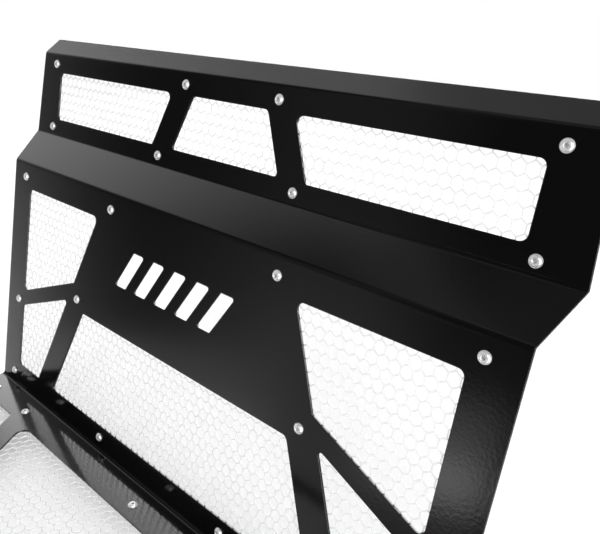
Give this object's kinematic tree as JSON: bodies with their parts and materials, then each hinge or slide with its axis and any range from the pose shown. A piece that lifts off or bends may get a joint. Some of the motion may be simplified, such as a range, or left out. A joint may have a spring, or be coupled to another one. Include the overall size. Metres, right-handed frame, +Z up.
{
  "type": "headache rack",
  "caption": "Folded sheet headache rack: an upright that leans back, with mesh-backed windows, a sloping shelf and a top flange, on a load deck with two bolt-down rails.",
  "frame": {"origin": "midway between the four bolts that hold the rails down, on the underside of the rubber pads", "axes": "+X along the rack's width, -Y towards the load that the rack faces, +Z up"},
  "size_m": [0.894, 0.4295, 0.5919],
  "materials": {
    "black_powder_coat": "very glossy black powder coat with slight orange peel",
    "bare_mesh": "bright plain expanded hexagon mesh",
    "zinc_fastener": "stainless button head screws, washers and flange nuts",
    "rubber_pad": "matt black rubber"
  },
  "bodies": {
    "root": {"deck_mesh": "bare_mesh", "deck_nuts": "zinc_fastener", "deck_screws": "zinc_fastener", "deck_washers": "zinc_fastener", "left_pad": "rubber_pad", "left_rail": "black_powder_coat", "lower_mesh": "bare_mesh", "lower_nuts": "zinc_fastener", "lower_screws": "zinc_fastener", "lower_washers": "zinc_fastener", "rack_sheet": "black_powder_coat", "rail_bolts": "zinc_fastener", "rail_nuts": "zinc_fastener", "rail_washers": "zinc_fastener", "right_pad": "rubber_pad", "right_rail": "black_powder_coat", "upper_mesh": "bare_mesh", "upper_nuts": "zinc_fastener", "upper_screws": "zinc_fastener", "upper_washers": "zinc_fastener"}
  },
  "joints": []
}
